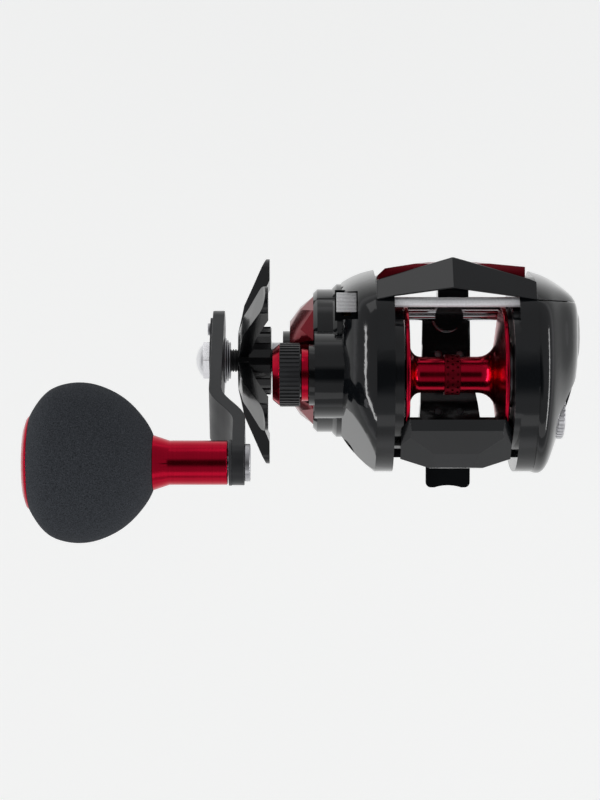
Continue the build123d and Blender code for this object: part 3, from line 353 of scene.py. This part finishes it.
def softened(node, width):
    """A copy of a CAD node with merged faces and rounded edges, width in millimetres."""
    mesh = NODES[node].data.copy()
    for name in ("custom_normal", "sharp_edge", "sharp_face"):
        attribute = mesh.attributes.get(name)
        if attribute:
            mesh.attributes.remove(attribute)
    merge_mesh(mesh, join_flat_faces=True)
    piece = new_piece(node + "_shell", mesh)
    bevel = piece.modifiers.new("edges", "BEVEL")
    bevel.width = width * MM
    bevel.segments = 2
    bevel.limit_method = "ANGLE"
    bevel.angle_limit = math.radians(FACET_DEG if node in FACETED else SHARP_DEG)
    even = piece.modifiers.new("normals", "WEIGHTED_NORMAL")
    even.keep_sharp = True
    even.weight = 60
    adopt(piece, node)


def dress_hidden():
    """Gives every remaining CAD node its procedural finish in place."""
    for node, piece in NODES.items():
        if node in SOFT_EDGES or node in REBUILT:
            continue
        piece.data.materials.clear()
        piece.data.materials.append(finish_of(node).material)


def knob_grip():
    """The foam ball, its turned surface smoothly shaded."""
    mesh = NODES["knob_grip"].data.copy()
    merge_mesh(mesh, join_flat_faces=False)
    adopt(new_piece("knob_foam", mesh), "knob_grip")


def clutch_springs():
    """The two clutch springs, copied from their CAD node into a mesh of their own; on the reel they
    shorten as the yoke comes out towards the side plate, which is not modelled here.
    """
    springs = new_piece("clutch_springs", NODES["yoke_springs"].data.copy())
    adopt(springs, "yoke_springs")
    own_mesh(springs)


for part_name, edge_width in SOFT_EDGES.items():
    softened(part_name, edge_width)
knob_grip()
clutch_springs()
dress_hidden()


# --------------------------------------------------------------------- studio
FLOOR_GLOW = 0.40  # the paper's own light, which keeps it near white
FLOOR_DROP = 0.22  # how far the paper lies below the reel
FLOOR_HALF = 3.0


def studio_floor():
    """A plain pale sheet well below the reel, which is held up by its foot."""
    mesh = bpy.data.meshes.new("studio_floor")
    corners = [(FLOOR_HALF * x, FLOOR_HALF * y, 0) for x, y in [(-1, -1), (1, -1), (1, 1), (-1, 1)]]
    mesh.from_pydata(corners, [], [(0, 1, 2, 3)])
    floor = new_piece("studio_floor", mesh)
    floor.location = (0, 0, CAD_BOX[0][2] - FLOOR_DROP)
    finish = Finish("floor_paper", (0.80, 0.805, 0.80), roughness=0.9)
    finish.vary_colour(finish.noise(3, 2), (0.795, 0.80, 0.795), (0.805, 0.81, 0.805))
    finish.set(Emission_Color=(0.87, 0.875, 0.865, 1), Emission_Strength=FLOOR_GLOW)
    finish.set(Specular_IOR_Level=0.0)
    mesh.materials.append(finish.material)


def softbox(name, place, width, height, radiance):
    """A rectangular area light that faces the reel and is as bright as radiance says."""
    light = bpy.data.lights.new(name, "AREA")
    light.shape = "RECTANGLE"
    light.size = width
    light.size_y = height
    light.energy = radiance * math.pi * width * height
    lamp = bpy.data.objects.new(name, light)
    lamp.location = place
    lamp.rotation_euler = (Vector(REEL_MIDDLE) - Vector(place)).to_track_quat("-Z", "Y").to_euler()
    bpy.context.scene.collection.objects.link(lamp)


# The surroundings' brightness at heights from the horizon, 0, to overhead, 1.
SKY = [(0.0, 0.80), (0.16, 0.40), (0.62, 0.34), (0.92, 0.34), (0.98, 0.02)]
REEL_MIDDLE = (-0.02, 0, 0.02)
# Name, place, width, height and radiance.
SOFTBOXES = [
    ("front_box", (-0.34, 0.82, 0.36), 0.55, 0.30, 0.8),
    ("rear_box", (0, -0.75, 0.50), 1.3, 0.30, 0.5),
    ("left_strip", (-0.60, -0.10, 0.44), 0.95, 0.08, 8),
    ("right_strip", (0.58, -0.12, 0.34), 0.95, 0.08, 8),
]


def studio_light():
    """Pale surroundings that darken overhead, with a softbox on each side."""
    world = bpy.data.worlds.new("studio")
    bpy.context.scene.world = world
    world.use_nodes = True
    tree = world.node_tree
    background = tree.nodes["Background"]
    coords = tree.nodes.new("ShaderNodeTexCoord")
    split = tree.nodes.new("ShaderNodeSeparateXYZ")
    ramp = tree.nodes.new("ShaderNodeValToRGB")
    tree.links.new(coords.outputs["Generated"], split.inputs[0])
    tree.links.new(split.outputs["Z"], ramp.inputs["Fac"])
    tree.links.new(ramp.outputs["Color"], background.inputs["Color"])
    stops = ramp.color_ramp.elements
    while len(stops) < len(SKY):
        stops.new(0.5)
    for stop, (height, brightness) in zip(stops, SKY):
        stop.position = height
        stop.color = (brightness, brightness, brightness * 1.02, 1)
    for box in SOFTBOXES:
        softbox(*box)
    bpy.context.scene.view_settings.view_transform = "Standard"


CAMERA_PLACE = (-0.0415, -0.00483, 0.626)


def camera():
    """Straight above the reel, with the rod tip's side at the top of the picture."""
    lens = bpy.data.cameras.new("camera")
    lens.lens = 100
    lens.sensor_width = 36
    eye = bpy.data.objects.new("camera", lens)
    eye.location = CAMERA_PLACE
    eye.rotation_euler = (0, 0, 0)
    bpy.context.scene.collection.objects.link(eye)
    bpy.context.scene.camera = eye


studio_floor()
studio_light()
camera()
